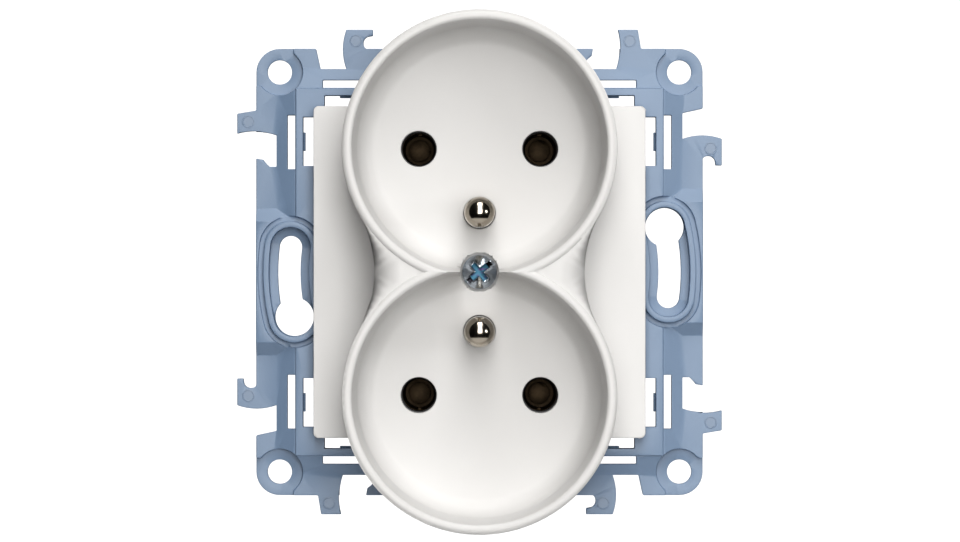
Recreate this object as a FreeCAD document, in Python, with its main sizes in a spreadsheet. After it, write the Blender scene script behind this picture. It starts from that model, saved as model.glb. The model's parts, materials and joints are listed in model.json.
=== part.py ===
import FreeCAD, Part
import math
import os
import Sketcher

# Twin socket-outlet module with earth pins: white cover, plastic mounting bracket and the
# contact mechanism behind it.  Millimetres.  +Z is up, +X is right, the room is towards -Y and
# the wall box towards +Y.  The origin is the centre of the bracket's back face, which lies on
# the wall.  A "height" is a distance in front of the wall, so it is measured along -Y; a
# "depth" is a distance behind the wall, along +Y.

SIZES = [
    # bracket, from its opening outwards
    ("base_clear", 0.4, "gap between the base and the bracket's opening"),
    ("border_band", 3.9, "from the opening to the outside of the raised border"),
    ("border_height", 3.9, "front of the raised border"),
    ("slope_step", 0.2, "flat top of the slope, outside the border"),
    ("slope_run", 2.9, "width of the slope"),
    ("slope_height", 3.4, "front of the slope's top"),
    ("edge_band", 3.2, "flat edge outside the slope"),
    ("plate_height", 2.0, "front of the flat edge of the bracket"),
    ("plate_corner", 3.7, "radius of the bracket's outer corners"),
    ("corner_inset", 3.7, "corner holes, in from the bracket's sides"),
    ("corner_hole_radius", 1.92, "corner holes"),
    ("corner_pad_radius", 3.65, "recess round a corner hole"),
    ("corner_pad_height", 1.2, "front of the recess round a corner hole"),
    ("edge_slot_end", 0.3, "far end of an edge slot, short of the opening's half width"),
    ("edge_slot_length", 8.5, "length of an edge slot"),
    ("edge_slot_width", 1.25, "width of an edge slot"),
    ("edge_slot_step", 0.1, "edge slot, out from the border"),
    ("window_end", 0.6, "far end of a window, short of the opening's half width"),
    ("window_lip", 1.12, "border left outside a window"),
    ("window_tab", 0.35, "how far the tab stands into a window"),
    ("window_tab_end", 2.4, "tab, short of both ends of its window"),
    ("join_inset", 14.2, "middle of a hook or post, in from the bracket's side"),
    ("join_reach", 3.0, "how far hooks and posts stand out of the bracket's side"),
    ("join_root", 0.5, "how far hooks and posts are sunk in the slope"),
    ("join_width", 3.1, "width of a hook's neck"),
    ("hook_claw", 1.1, "how far a hook's claw stands out of its neck"),
    ("hook_claw_thick", 0.95, "thickness of a hook's claw"),
    ("post_width", 3.8, "width of a post"),
    ("gap_width", 6.5, "gap in the edge beside a hook or post"),
    ("keyhole_inset", 5.0, "circle of the wall screws, out from the opening"),
    ("keyhole_width", 3.55, "width of a keyhole slot"),
    ("keyhole_round", 3.05, "radius of a keyhole's round end"),
    ("keyhole_slot_angle", 7.5, "slot end, degrees from the level line"),
    ("keyhole_round_angle", 13.6, "round end, degrees from the level line"),
    ("keyhole_recess", 3.15, "recess round a keyhole, from its centre line"),
    ("keyhole_rim", 0.9, "width of the raised rim round the recess"),
    ("keyhole_groove", 0.85, "width of the groove round the rim"),
    ("keyhole_groove_drop", 0.5, "groove under the shoulder's front"),
    ("keyhole_floor", 1.6, "front of the recess floor"),
    ("keyhole_rim_height", 4.1, "front of the raised rim"),
    ("keyhole_ramp", 2.0, "ramp at both ends of the keyhole's shoulder"),
    # cover
    ("block_lap", 1.0, "how far the cover's square block laps over the opening's edge"),
    ("block_back", 4.4, "back edge of the block"),
    ("block_front", 8.6, "front face of the block"),
    ("block_wall", 1.6, "wall of the block"),
    ("block_corner", 0.8, "radius of the block's corners"),
    ("well_pitch", 38.5, "distance between the wells' centres"),
    ("well_overlap", 2.0, "how far each well reaches past the module's middle"),
    ("waist_inset", 5.05, "waist between the wells, in from their width"),
    ("well_mouth", 0.95, "wall of a well at its lip"),
    ("well_top", 1.55, "wall of a well just under its lip"),
    ("well_foot", 2.05, "wall of a well at its floor blend"),
    ("well_blend", 3.0, "radius of the blend from wall to floor"),
    ("well_floor", 10.0, "front face of a well's floor"),
    ("well_depth", 15.0, "from the lip's crest to the floor"),
    ("lip_tall", 5.0, "height of the ring that carries the lip"),
    ("lip_round", 0.75, "rounding of the lip on its outside"),
    ("web_drop", 0.4, "how far the web between the wells lies under the crest"),
    ("web_skin", 2.2, "front wall of the web between the wells"),
    ("web_wall", 1.7, "side wall of the web"),
    ("web_hollow", 4.9, "width of the hollow in the web"),
    ("web_hollow_half", 2.9, "half the height of the hollow in the web"),
    ("seat_radius", 3.05, "seat of the cover screw"),
    ("seat_sink", 0.7, "depth of the cover screw's seat"),
    ("seat_hole_clear", 0.3, "gap round the cover screw in its hole"),
    # pins and holes
    ("pin_pitch", 19.0, "distance between the two pin holes of a well"),
    ("pin_hole_radius", 2.8, "pin holes"),
    ("earth_offset", 10.0, "from the pin holes' line to the earth pin"),
    ("earth_radius", 2.4, "earth pins"),
    ("earth_clear", 0.1, "gap round an earth pin in the cover"),
    ("earth_length", 14.0, "how far an earth pin stands out of its floor"),
    ("earth_shoulder", 0.3, "from the floor to the shoulder of an earth pin's neck"),
    ("earth_neck", 1.9, "radius of an earth pin's neck"),
    ("earth_neck_clear", 0.05, "gap round the neck in the carrier"),
    ("earth_collar", 3.3, "radius of an earth pin's collar"),
    ("earth_tail", 1.6, "radius of an earth pin's tail"),
    ("earth_tail_clear", 0.02, "gap round the tail in the strap"),
    ("earth_rivet", 2.2, "radius of the riveted tail"),
    ("earth_rivet_rise", 0.8, "height of the riveted tail"),
    ("earth_rivet_round", 0.3, "chamfer of the riveted tail"),
    # screws
    ("screw_radius", 1.7, "cover and terminal screws, over the thread"),
    ("screw_clear", 0.05, "gap round a screw in its thread"),
    ("screw_point", 0.5, "chamfer at a screw's end"),
    ("screw_head_radius", 2.7, "head of a screw"),
    ("screw_head_height", 2.0, "head of a screw"),
    ("cover_screw_length", 13.0, "cover screw under its head"),
    ("terminal_screw_length", 5.6, "terminal screw under its head"),
    ("slot_width", 0.8, "driver slot"),
    ("slot_depth", 0.6, "driver slot"),
    ("cross_span", 3.5, "cross recess"),
    ("cross_width", 0.9, "cross recess"),
    ("cross_depth", 1.3, "cross recess"),
    ("recess_turn", 40, "driver recesses, degrees from the head's level line"),
    # mechanism
    ("base_margin", 5.35, "from the pin holes' line to the outside of the base"),
    ("base_cut", 8.3, "bevel of the base's corners"),
    ("base_wall", 1.6, "walls of the base"),
    ("base_front", 3.6, "front edge of the base"),
    ("rib_near", 4.8, "near side of the ribs beside the earth strap"),
    ("rib_wall", 1.0, "thickness of those ribs"),
    ("rib_gap", 0.1, "gap between the ribs and the carrier"),
    ("post_inset", 7.1, "posts under the carrier, in from the base's sides"),
    ("post_up", 13.0, "posts under the carrier, up and down"),
    ("post_radius", 2.2, "posts under the carrier"),
    ("pilot_depth", 8.0, "length of the posts' screw holes"),
    ("lug_low", 12.4, "near end of a seating lug, along the side"),
    ("lug_high", 15.6, "far end of a seating lug, along the side"),
    ("lug_reach", 1.3, "how far a lug stands out of the base"),
    ("lug_floor", 2.4, "front of the bracket under a lug"),
    ("lug_clear", 0.2, "gap round lugs and snap noses"),
    ("nose_low", 5.0, "near end of a snap nose, along the side"),
    ("nose_high", 9.0, "far end of a snap nose, along the side"),
    ("nose_reach", 0.7, "how far a snap nose stands out of the base"),
    ("nose_height", 1.5, "front of a snap nose"),
    ("nose_back", 0.1, "back of a snap nose"),
    ("nose_gap", 0.1, "gap between a snap nose and the bracket in front of it"),
    ("root", 0.5, "how far added pieces are sunk in what carries them"),
    ("driver_clear", 0.3, "gap round a screw's head in its driver hole"),
    ("carrier_clear", 0.2, "gap between the carrier and the base"),
    ("carrier_back", 1.0, "back of the carrier plate"),
    ("carrier_front", 3.0, "front of the carrier plate"),
    ("guide_clear", 0.3, "gap round a plug pin in the carrier"),
    ("boss_radius", 3.6, "bosses round the pins"),
    ("hub_radius", 4.2, "boss round the threaded bush"),
    ("bush_radius", 3.0, "threaded bush"),
    ("bush_front", 5.8, "front of the threaded bush"),
    ("bush_depth", 4.0, "back of the threaded bush"),
    ("retainer_thick", 0.8, "washer that keeps the cover screw"),
    ("retainer_radius", 2.8, "washer that keeps the cover screw"),
    ("retainer_gap", 0.1, "gap between the washer and the cover"),
    ("sleeve_bore", 2.3, "inside of a contact sleeve"),
    ("sleeve_wall", 0.8, "wall of a contact sleeve"),
    ("sleeve_flare", 0.25, "lead-in at the mouth of a sleeve"),
    ("sleeve_mouth", 0.4, "front of a contact sleeve, behind the wall"),
    ("sleeve_slit", 0.8, "slit of a contact sleeve"),
    ("sleeve_disc", 0.6, "closed end of a contact sleeve"),
    ("spring_wall", 0.4, "contact spring"),
    ("spring_clear", 0.02, "gap between a spring and its sleeve"),
    ("spring_gap", 1.2, "half the opening of a contact spring"),
    ("spring_low", 2.4, "front of a contact spring"),
    ("spring_width", 3.6, "width of a contact spring"),
    ("bar_depth", 9.0, "front of the busbars"),
    ("bar_thick", 0.8, "busbars"),
    ("bar_width", 6.4, "busbars"),
    ("bar_end", 1.2, "gap between a busbar's end and the base"),
    ("strap_depth", 5.0, "front of the earth strap"),
    ("strap_thick", 1.0, "earth strap"),
    ("strap_end", 2.95, "earth strap, past the upper earth pin"),
    ("strap_width", 7.0, "earth strap"),
    ("tab_inset", 4.0, "outer face of a terminal's tab, in from the base's wall"),
    ("tab_half", 4.0, "half the width of a terminal's tab"),
    ("tab_tail", 3.9, "tab behind the axis of its screw"),
    ("terminal_drop", 4.5, "from the busbars' front to the axis of the terminal screws"),
    ("floor_gap", 2.0, "gap between a tab and the base's floor"),
    ("plate_gap", 0.3, "gap left between a clamp plate and its tab"),
    ("clamp_thick", 1.0, "clamp plates"),
    ("clamp_half", 3.8, "half the width of a clamp plate"),
    ("clamp_tall", 3.4, "half the height of a clamp plate"),
    ("wire_radius", 1.6, "wire holes"),
    ("wire_offset", 2.4, "wire holes, from the terminal's middle"),
    ("wire_out", 1.5, "wire holes, out from the tab"),
    ("rivet_radius", 1.0, "shank of a contact rivet"),
    ("rivet_head", 1.7, "head of a contact rivet"),
    ("rivet_rise", 0.6, "height of a contact rivet's head"),
    ("carrier_screw_radius", 1.0, "screws of the carrier"),
    ("carrier_screw_clear", 0.1, "gap round those screws in the carrier"),
    ("carrier_screw_head", 1.9, "heads of the carrier's screws"),
    ("carrier_screw_rise", 1.2, "height of those heads"),
    ("carrier_screw_depth", 6.0, "ends of those screws"),
    ("past", 0.2, "how far cuts run past what they cut"),
]

doc = FreeCAD.newDocument("duplex_outlet")
sheet = doc.addObject("Spreadsheet::Sheet", "Sizes")
for row, (alias, value, note) in enumerate(SIZES, start=1):
    sheet.set("A%d" % row, note)
    sheet.set("B%d" % row, str(value))
    sheet.setAlias("B%d" % row, alias)
doc.recompute()


class Size:
    """A length with the sheet expression that gives it, so sums of sizes stay bound."""

    def __init__(self, value, text):
        self.value = value
        self.text = text

    def __add__(self, other):
        other = as_size(other)
        return Size(self.value + other.value, "(%s + %s)" % (self.text, other.text))

    def __sub__(self, other):
        other = as_size(other)
        return Size(self.value - other.value, "(%s - %s)" % (self.text, other.text))

    def __mul__(self, factor):
        return Size(self.value * factor, "(%s * %s)" % (self.text, factor))

    def __truediv__(self, factor):
        return Size(self.value / factor, "(%s / %s)" % (self.text, factor))

    def __neg__(self):
        return Size(-self.value, "(0 - %s)" % self.text)


def as_size(number):
    return number if isinstance(number, Size) else Size(number, "(%s)" % number)


def size(alias):
    return Size(float(sheet.get(alias)), "Sizes." + alias)


def bind(thing, prop, length):
    """Gives a property its value and ties it to the sheet."""
    if isinstance(length, Size):
        thing.setExpression(prop, length.text)
    elif "." not in prop:
        setattr(thing, prop, length)


# ---------------------------------------------------------------- bodies, sketches, features

def new_body(label, place=None, axis=None, angle=0):
    """A body; place is its (x, y, z), each a number or a size."""
    body = doc.addObject("PartDesign::Body", label)
    body.Label = label
    x, y, z = [as_size(number) for number in (place or (0, 0, 0))]
    turn = FreeCAD.Rotation(axis or FreeCAD.Vector(0, 0, 1), angle)
    body.Placement = FreeCAD.Placement(FreeCAD.Vector(x.value, y.value, z.value), turn)
    for prop, length in (("x", x), ("y", y), ("z", z)):
        bind(body, "Placement.Base." + prop, length)
    return body


def origin_part(body, role):
    return [part for part in body.Origin.OriginFeatures if part.Role == role][0]


def new_sketch(body, name, height=0, plane="XZ_Plane", shift=(0, 0), turn=0):
    """A sketch on an origin plane, moved along the plane's normal by height.

    On XZ_Plane the sketch's axes are X and Z and its normal is -Y, so height is measured in
    front of the wall.  On YZ_Plane they are Y and Z, and the normal is +X.
    """
    sketch = body.newObject("Sketcher::SketchObject", name)
    sketch.AttachmentSupport = (origin_part(body, plane), [""])
    sketch.MapMode = "FlatFace"
    parts = [as_size(number) for number in (shift[0], shift[1], height)]
    base = FreeCAD.Vector(*[part.value for part in parts])
    turned = FreeCAD.Rotation(FreeCAD.Vector(0, 0, 1), turn)
    sketch.AttachmentOffset = FreeCAD.Placement(base, turned)
    for prop, length in zip("xyz", parts):
        bind(sketch, "AttachmentOffset.Base." + prop, length)
    sketch.Visibility = False
    return sketch


def point(pair):
    return FreeCAD.Vector(as_size(pair[0]).value, as_size(pair[1]).value, 0)


def fix_point(sketch, element, end, pair):
    """Ties a point's two coordinates to their sizes."""
    for kind, length in zip(("DistanceX", "DistanceY"), pair):
        length = as_size(length)
        number = sketch.addConstraint(Sketcher.Constraint(kind, element, end, length.value))
        sketch.setExpression("Constraints[%d]" % number, length.text)


def outline(sketch, corners):
    """A closed outline; a corner's third item is a point on the arc to the next corner."""
    first = sketch.GeometryCount
    ends = []
    for index, corner in enumerate(corners):
        start = point(corner)
        finish = point(corners[(index + 1) % len(corners)])
        if len(corner) > 2:
            element = sketch.addGeometry(Part.Arc(start, point(corner[2]), finish), False)
        else:
            element = sketch.addGeometry(Part.LineSegment(start, finish), False)
        forward = (sketch.getPoint(element, 1) - start).Length < 1e-6
        ends.append((1, 2) if forward else (2, 1))
    for index, corner in enumerate(corners):
        after = (index + 1) % len(corners)
        sketch.addConstraint(Sketcher.Constraint(
            "Coincident", first + index, ends[index][1], first + after, ends[after][0]))
        fix_point(sketch, first + index, ends[index][0], corner)


def rectangle(sketch, side_a, side_b, low, high):
    left, right = sorted((as_size(side_a), as_size(side_b)), key=lambda length: length.value)
    outline(sketch, [(left, low), (right, low), (right, high), (left, high)])


def square(sketch, half):
    rectangle(sketch, -half, half, -half, half)


def octagon(sketch, half, cut):
    """A square with bevelled corners."""
    near = half - cut
    outline(sketch, [(-near, -half), (near, -half), (half, -near), (half, near),
                     (near, half), (-near, half), (-half, near), (-half, -near)])


def circle(sketch, across, up, radius):
    radius = as_size(radius)
    element = sketch.addGeometry(
        Part.Circle(point((across, up)), FreeCAD.Vector(0, 0, 1), radius.value), False)
    number = sketch.addConstraint(Sketcher.Constraint("Radius", element, radius.value))
    sketch.setExpression("Constraints[%d]" % number, radius.text)
    fix_point(sketch, element, 3, (across, up))


def polar(radius, degrees):
    return (radius * math.cos(math.radians(degrees)), radius * math.sin(math.radians(degrees)))


def arc_slot(sketch, radius, half_width, start, end):
    """A slot bent along a circle about the origin, between two angles in degrees."""
    middle = (start + end) / 2
    cap_reach = math.degrees(half_width / radius)
    outline(sketch, [
        polar(radius + half_width, start) + (polar(radius + half_width, middle),),
        polar(radius + half_width, end) + (polar(radius, end + cap_reach),),
        polar(radius - half_width, end) + (polar(radius - half_width, middle),),
        polar(radius - half_width, start) + (polar(radius, start - cap_reach),)])


def finish_feature(body, feature, removes):
    """Recomputes and makes sure that a cut really cuts and a pad really adds."""
    before = feature.BaseFeature.Shape.Volume if feature.BaseFeature else 0
    doc.recompute()
    after = feature.Shape.Volume
    if (after >= before) if removes else (after <= before):
        raise RuntimeError("%s changes nothing" % feature.Name)
    return feature


def pad(body, sketch, length, name, backward=False):
    feature = body.newObject("PartDesign::Pad", name)
    feature.Profile = (sketch, [""])
    feature.Reversed = backward
    bind(feature, "Length", length)
    return finish_feature(body, feature, removes=False)


def pocket(body, sketch, length, name, forward=False):
    """Cuts against the sketch's normal, or along it when forward; no length cuts through."""
    feature = body.newObject("PartDesign::Pocket", name)
    feature.Profile = (sketch, [""])
    feature.Reversed = forward
    if length is None:
        feature.Type = "ThroughAll"
    else:
        bind(feature, "Length", length)
    return finish_feature(body, feature, removes=True)


def revolve(body, sketch, name, removes=False):
    kind = "PartDesign::Groove" if removes else "PartDesign::Revolution"
    feature = body.newObject(kind, name)
    feature.Profile = (sketch, [""])
    feature.ReferenceAxis = (sketch, ["H_Axis"])
    feature.Angle = 360
    return finish_feature(body, feature, removes)


def repeat_round(body, originals, count, name):
    """Repeats features about the Y axis."""
    feature = body.newObject("PartDesign::PolarPattern", name)
    feature.Originals = originals
    feature.Axis = (origin_part(body, "Y_Axis"), [""])
    feature.Angle = 360
    feature.Occurrences = count
    body.Tip = feature
    doc.recompute()
    return feature


def mirror(body, originals, plane, name):
    feature = body.newObject("PartDesign::Mirrored", name)
    feature.Originals = originals
    feature.MirrorPlane = (origin_part(body, plane), [""])
    body.Tip = feature
    doc.recompute()
    return feature


def round_edges(body, radius, name, wanted):
    """Fillets the edges that the wanted test picks."""
    base = body.Tip
    picked = ["Edge%d" % number for number, edge in enumerate(base.Shape.Edges, start=1)
              if wanted(edge)]
    feature = body.newObject("PartDesign::Fillet", name)
    feature.Base = (base, picked)
    bind(feature, "Radius", radius)
    doc.recompute()
    return feature


def runs_along(edge, axis):
    """True for a straight edge parallel to an axis."""
    if edge.Curve.TypeId != "Part::GeomLine":
        return False
    return abs(abs(edge.tangentAt(edge.FirstParameter).dot(axis)) - 1) < 1e-6


# ---------------------------------------------------------------- shared places

ROOM_WARDS = FreeCAD.Vector(0, -1, 0)
UP = FreeCAD.Vector(0, 0, 1)
RIGHT = FreeCAD.Vector(1, 0, 0)

QUARTER_ARC = 1 - math.sqrt(0.5)

pin_x = size("pin_pitch") / 2
well_z = size("well_pitch") / 2
well_outer = well_z + size("well_overlap")
waist_half = well_outer - size("waist_inset")
earth_z = well_z - size("earth_offset")
crest = size("well_floor") + size("well_depth")
ceiling = size("block_front") - size("block_wall")
base_half = well_z + size("base_margin")
cavity_half = base_half - size("base_wall")
cavity_cut = size("base_cut") - size("base_wall") * (2 * QUARTER_ARC)
opening_half = base_half + size("base_clear")
border_half = opening_half + size("border_band")
slope_top = border_half + size("slope_step")
slope_foot = slope_top + size("slope_run")
plate_half = slope_foot + size("edge_band")
block_half = opening_half + size("block_lap")
terminal_depth = size("bar_depth") + size("terminal_drop")
tab_depth = terminal_depth + size("tab_tail")
floor_depth = tab_depth + size("floor_gap")
base_depth = floor_depth + size("base_wall")
tab_outer = cavity_half - size("tab_inset")
post_across = base_half - size("post_inset")
screw_bore = size("screw_radius") + size("screw_clear")
sleeve_outer = size("sleeve_bore") + size("sleeve_wall")
SIDES = (("left", -1), ("right", 1))
LEVELS = (("upper", 1), ("lower", -1))


# ---------------------------------------------------------------- mounting bracket

def bracket_plate(body):
    """The stepped square: flat edge, outward-facing slope and raised border."""
    sketch = new_sketch(body, "plate_outline")
    square(sketch, plate_half)
    pad(body, sketch, size("plate_height"), "plate")
    round_edges(body, size("plate_corner"), "plate_corners",
                lambda edge: runs_along(edge, ROOM_WARDS))
    foot = new_sketch(body, "slope_foot_outline", size("plate_height"))
    square(foot, slope_foot)
    top = new_sketch(body, "slope_top_outline", size("slope_height"))
    square(top, slope_top)
    slope = body.newObject("PartDesign::AdditiveLoft", "slope")
    slope.Profile = (foot, [""])
    slope.Sections = [(top, [""])]
    slope.Ruled = True
    finish_feature(body, slope, removes=False)
    border = new_sketch(body, "border_outline", size("plate_height"))
    square(border, border_half)
    pad(body, border, size("border_height") - size("plate_height"), "border")


def bracket_corners(body):
    """Screw holes at the corners, each in a round recess that runs out to the corner."""
    place = plate_half - size("corner_inset")
    reach = place - size("corner_pad_radius") * 0.6
    past = plate_half + size("past")
    depth = size("border_height") - size("corner_pad_height")
    disc = new_sketch(body, "corner_disc", size("border_height"))
    circle(disc, place, place, size("corner_pad_radius"))
    disc_cut = pocket(body, disc, depth, "corner_disc_recess")
    edge = new_sketch(body, "corner_edge", size("border_height"))
    rectangle(edge, reach, past, reach, past)
    edge_cut = pocket(body, edge, depth, "corner_edge_recess")
    hole = new_sketch(body, "corner_hole", size("border_height"))
    circle(hole, place, place, size("corner_hole_radius"))
    hole_cut = pocket(body, hole, None, "corner_hole_cut")
    repeat_round(body, [disc_cut, edge_cut, hole_cut], 4, "four_corners")


def bracket_edges(body):
    """Hooks, posts and gaps that join brackets side by side, alike on all four sides."""
    join = plate_half - size("join_inset")
    past = plate_half + size("past")
    sunk = slope_foot - size("join_root")
    reach = plate_half + size("join_reach")
    middle = plate_half + size("past") / 2
    gap = size("gap_width")
    neck = size("join_width")
    claw = size("hook_claw")
    thick = size("hook_claw_thick")

    hook_gap = new_sketch(body, "hook_gap", size("plate_height"))
    near = -join + neck * 0.65
    outline(hook_gap, [(near - gap * 1.05, past), (near - gap * 0.935, slope_foot),
                       (near, slope_foot), (near, past)])
    hook_gap_cut = pocket(body, hook_gap, None, "hook_gap_cut")
    post_gap = new_sketch(body, "post_gap", size("plate_height"))
    far = join + claw
    outline(post_gap, [(join - claw * 4, slope_foot),
                       (far - claw * 0.5, slope_foot, (far - claw * 0.1, slope_foot + claw * 1.6)),
                       (far, past), (far - claw * 3.8, past),
                       (far - claw * 4, plate_half - claw, (far - claw * 4.5, plate_half - claw * 1.4)),
                       (join - claw * 4, slope_foot + claw)])
    post_gap_cut = pocket(body, post_gap, None, "post_gap_cut")

    hook = new_sketch(body, "hook_outline")
    outline(hook, [(-join, sunk), (-join, slope_foot, (-join - claw * 0.5, middle)),
                   (-join, reach), (-join + neck + claw, reach),
                   (-join + neck + claw, reach - thick),
                   (-join + neck + claw * 0.25, reach - claw,
                    (-join + neck - claw * 0.35, reach - claw * 1.8)),
                   (-join + neck, plate_half), (-join + neck, sunk)])
    hook_pad = pad(body, hook, size("plate_height"), "hook")
    post = new_sketch(body, "post_outline")
    left = join + claw * 0.6
    right = left + size("post_width")
    outline(post, [(left, sunk), (left, slope_foot, (left + claw * 0.5, middle)),
                   (left + claw * 0.15, reach), (right - claw * 0.45, reach),
                   (right, plate_half), (right, sunk)])
    post_pad = pad(body, post, size("plate_height"), "post")
    repeat_round(body, [hook_gap_cut, post_gap_cut, hook_pad, post_pad], 4, "four_sides")


def bracket_openings(body):
    """The opening for the base, with its windows, the edge slots and the lug seats."""
    front = size("border_height")
    low = opening_half - size("base_cut")
    high = opening_half - size("window_end")
    reach = border_half - size("window_lip")
    slot_high = opening_half - size("edge_slot_end")
    slot_low = slot_high - size("edge_slot_length")
    slot_near = border_half + size("edge_slot_step")
    clear = size("lug_clear")
    middle = new_sketch(body, "opening_outline", front)
    octagon(middle, opening_half, size("base_cut"))
    pocket(body, middle, None, "opening")
    cuts = []
    for name, sign in SIDES:
        window = new_sketch(body, "window_" + name, front)
        rectangle(window, low * sign, high * sign, low, reach)
        cuts.append(pocket(body, window, None, "window_cut_" + name))
        slot = new_sketch(body, "edge_slot_" + name, front)
        rectangle(slot, slot_low * sign, slot_high * sign,
                  slot_near, slot_near + size("edge_slot_width"))
        cuts.append(pocket(body, slot, None, "edge_slot_cut_" + name))
        seat = new_sketch(body, "lug_seat_" + name, front)
        rectangle(seat, (size("lug_low") - clear) * sign, (size("lug_high") + clear) * sign,
                  opening_half - size("root"), base_half + size("lug_reach") + clear)
        cuts.append(pocket(body, seat, front - size("lug_floor"), "lug_seat_cut_" + name))
        catch = new_sketch(body, "nose_catch_" + name)
        rectangle(catch, (size("nose_low") - clear) * sign, (size("nose_high") + clear) * sign,
                  opening_half - size("root"), base_half + size("nose_reach") + clear)
        cuts.append(pocket(body, catch, size("nose_height") + size("nose_gap"),
                           "nose_catch_cut_" + name, forward=True))
        tab = new_sketch(body, "window_tab_" + name, size("root"))
        rectangle(tab, (low + size("window_tab_end")) * sign, (high - size("window_tab_end")) * sign,
                  reach - size("window_tab"), reach + size("past"))
        cuts.append(pad(body, tab, size("plate_height") - size("root"), "tab_" + name))
    repeat_round(body, cuts, 4, "openings_round")


def bracket_keyholes(body):
    """Wall-screw keyholes on a circle about the centre, so the module can be levelled."""
    radius = (opening_half + size("keyhole_inset")).value
    start = 180 - size("keyhole_slot_angle").value
    end = 180 + size("keyhole_round_angle").value
    recess = size("keyhole_recess").value
    rim = recess + size("keyhole_rim").value
    groove = rim + size("keyhole_groove").value
    top = polar(radius, start)[1] + rim
    bottom = polar(radius, end)[1] - rim
    ramp = size("keyhole_ramp")
    low = size("plate_height")
    high = size("slope_height")
    inside = -size("root")
    shoulder = new_sketch(body, "shoulder_profile", -plate_half, plane="YZ_Plane")
    outline(shoulder, [(inside, -ramp + bottom), (-low, -ramp + bottom), (-high, bottom),
                       (-high, top), (-low, ramp + top), (inside, ramp + top)])
    shoulder_pad = pad(body, shoulder, plate_half - opening_half, "shoulder")
    outer = new_sketch(body, "keyhole_groove_outline", size("border_height"))
    arc_slot(outer, radius, groove, start, end)
    groove_cut = pocket(body, outer, size("border_height") - high + size("keyhole_groove_drop"),
                        "keyhole_groove_cut")
    ring = new_sketch(body, "keyhole_rim_outline", size("root"))
    arc_slot(ring, radius, rim, start, end)
    rim_pad = pad(body, ring, size("keyhole_rim_height") - size("root"), "keyhole_rim_pad")
    dish = new_sketch(body, "keyhole_recess_outline", size("keyhole_rim_height"))
    arc_slot(dish, radius, recess, start, end)
    dish_cut = pocket(body, dish, size("keyhole_rim_height") - size("keyhole_floor"),
                      "keyhole_recess_cut")
    slot = new_sketch(body, "keyhole_slot_outline", size("keyhole_rim_height"))
    arc_slot(slot, radius, size("keyhole_width").value / 2, start, end)
    slot_cut = pocket(body, slot, None, "keyhole_slot_cut")
    round_end = new_sketch(body, "keyhole_round_outline", size("keyhole_rim_height"))
    circle(round_end, *polar(radius, end), size("keyhole_round"))
    round_cut = pocket(body, round_end, None, "keyhole_round_cut")
    repeat_round(body, [shoulder_pad, groove_cut, rim_pad, dish_cut, slot_cut, round_cut], 2,
                 "both_keyholes")


def mounting_bracket():
    body = new_body("mounting_bracket")
    bracket_plate(body)
    bracket_keyholes(body)
    bracket_corners(body)
    bracket_edges(body)
    bracket_openings(body)
    return body


# ---------------------------------------------------------------- cover

def well_outline(sketch, radius):
    """Two circles joined by waist arcs that are tangent to both."""
    up = well_z.value
    half = waist_half.value
    waist = (radius ** 2 - half ** 2 - up ** 2) / (2 * (half - radius))
    share = radius / (radius + waist)
    across = share * (half + waist)
    level = up * (1 - share)
    outline(sketch, [(across, level, (0, up + radius)), (-across, level, (-half, 0)),
                     (-across, -level, (0, -up - radius)), (across, -level, (half, 0))])


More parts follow.
